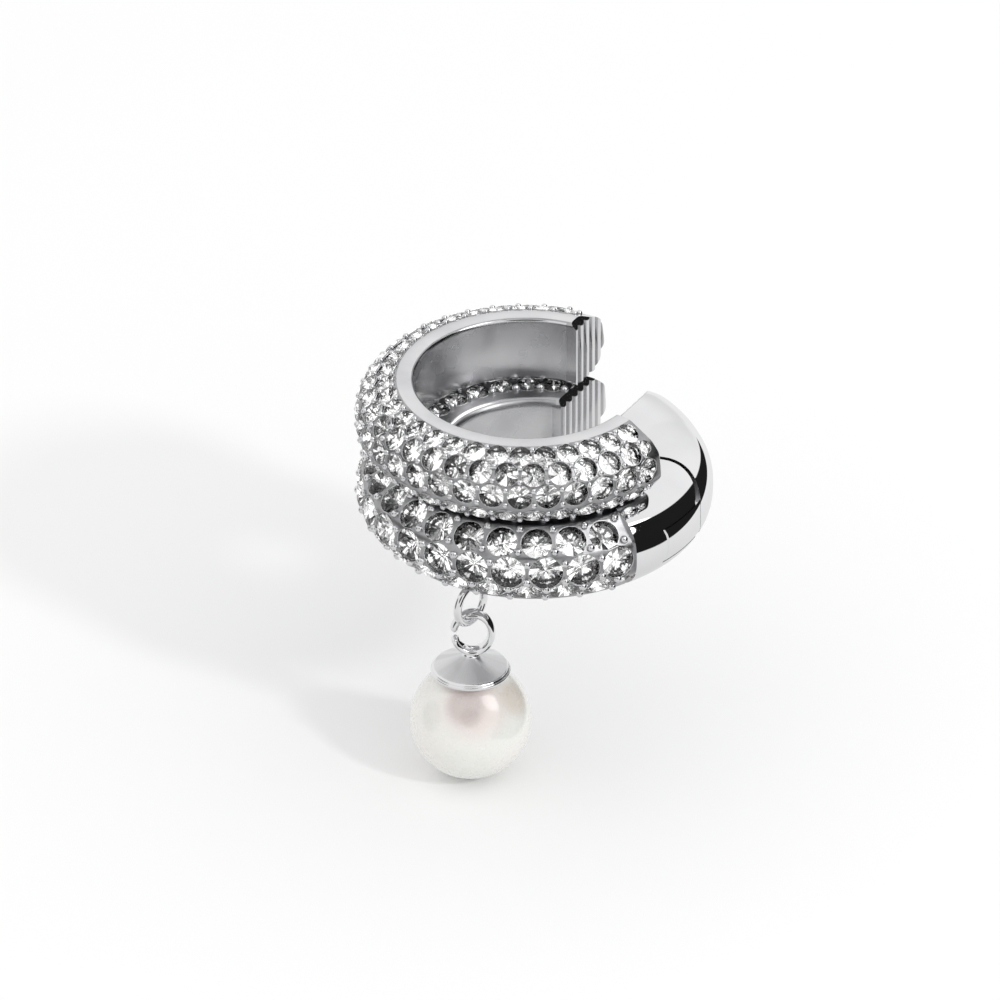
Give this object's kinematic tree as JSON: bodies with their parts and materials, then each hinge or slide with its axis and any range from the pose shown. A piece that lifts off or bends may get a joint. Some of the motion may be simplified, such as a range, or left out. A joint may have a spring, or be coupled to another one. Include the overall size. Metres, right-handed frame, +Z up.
{
  "type": "ear cuff",
  "caption": "Stacked stone-set ear cuff with a hinged polished clip arm and a pearl drop on a soldered ring.",
  "frame": {"origin": "in the gap between the ribbed faces and the tip of the clip arm, 1.3 mm from the ribbed faces and at mid height of the lower band, where the cuff grips the rim of an ear", "axes": "+Z up along the axes the bands curl about, with the drop hanging towards -Z; -Y towards the front of the bands; +X towards the clip arm"},
  "size_m": [0.0176, 0.018, 0.0186],
  "materials": {
    "band_metal": "rhodium-bright metal set with clear cut stones",
    "polished_metal": "mirror polished",
    "pearl": "pearl lustre, white with a faint rose overtone"
  },
  "bodies": {
    "cuff": {"upper_band": "band_metal", "lower_band": "band_metal", "hinge_pin": "polished_metal"},
    "clip": {"clip_arm": "polished_metal"},
    "drop": {"drop_cap": "polished_metal", "pearl": "pearl"}
  },
  "joints": [
    {"name": "clip_hinge", "type": "hinge", "parent": "cuff", "child": "clip", "pos_m": [0.00207, -0.0088, 0], "axis": [0, 0, 1], "range_deg": [-45, 15]},
    {"name": "drop_swing", "type": "hinge", "parent": "cuff", "child": "drop", "pos_m": [-0.0068, -0.01168, -0.00416], "axis": [0.6428, 0.766, 0], "range_deg": [-50, 50]}
  ]
}
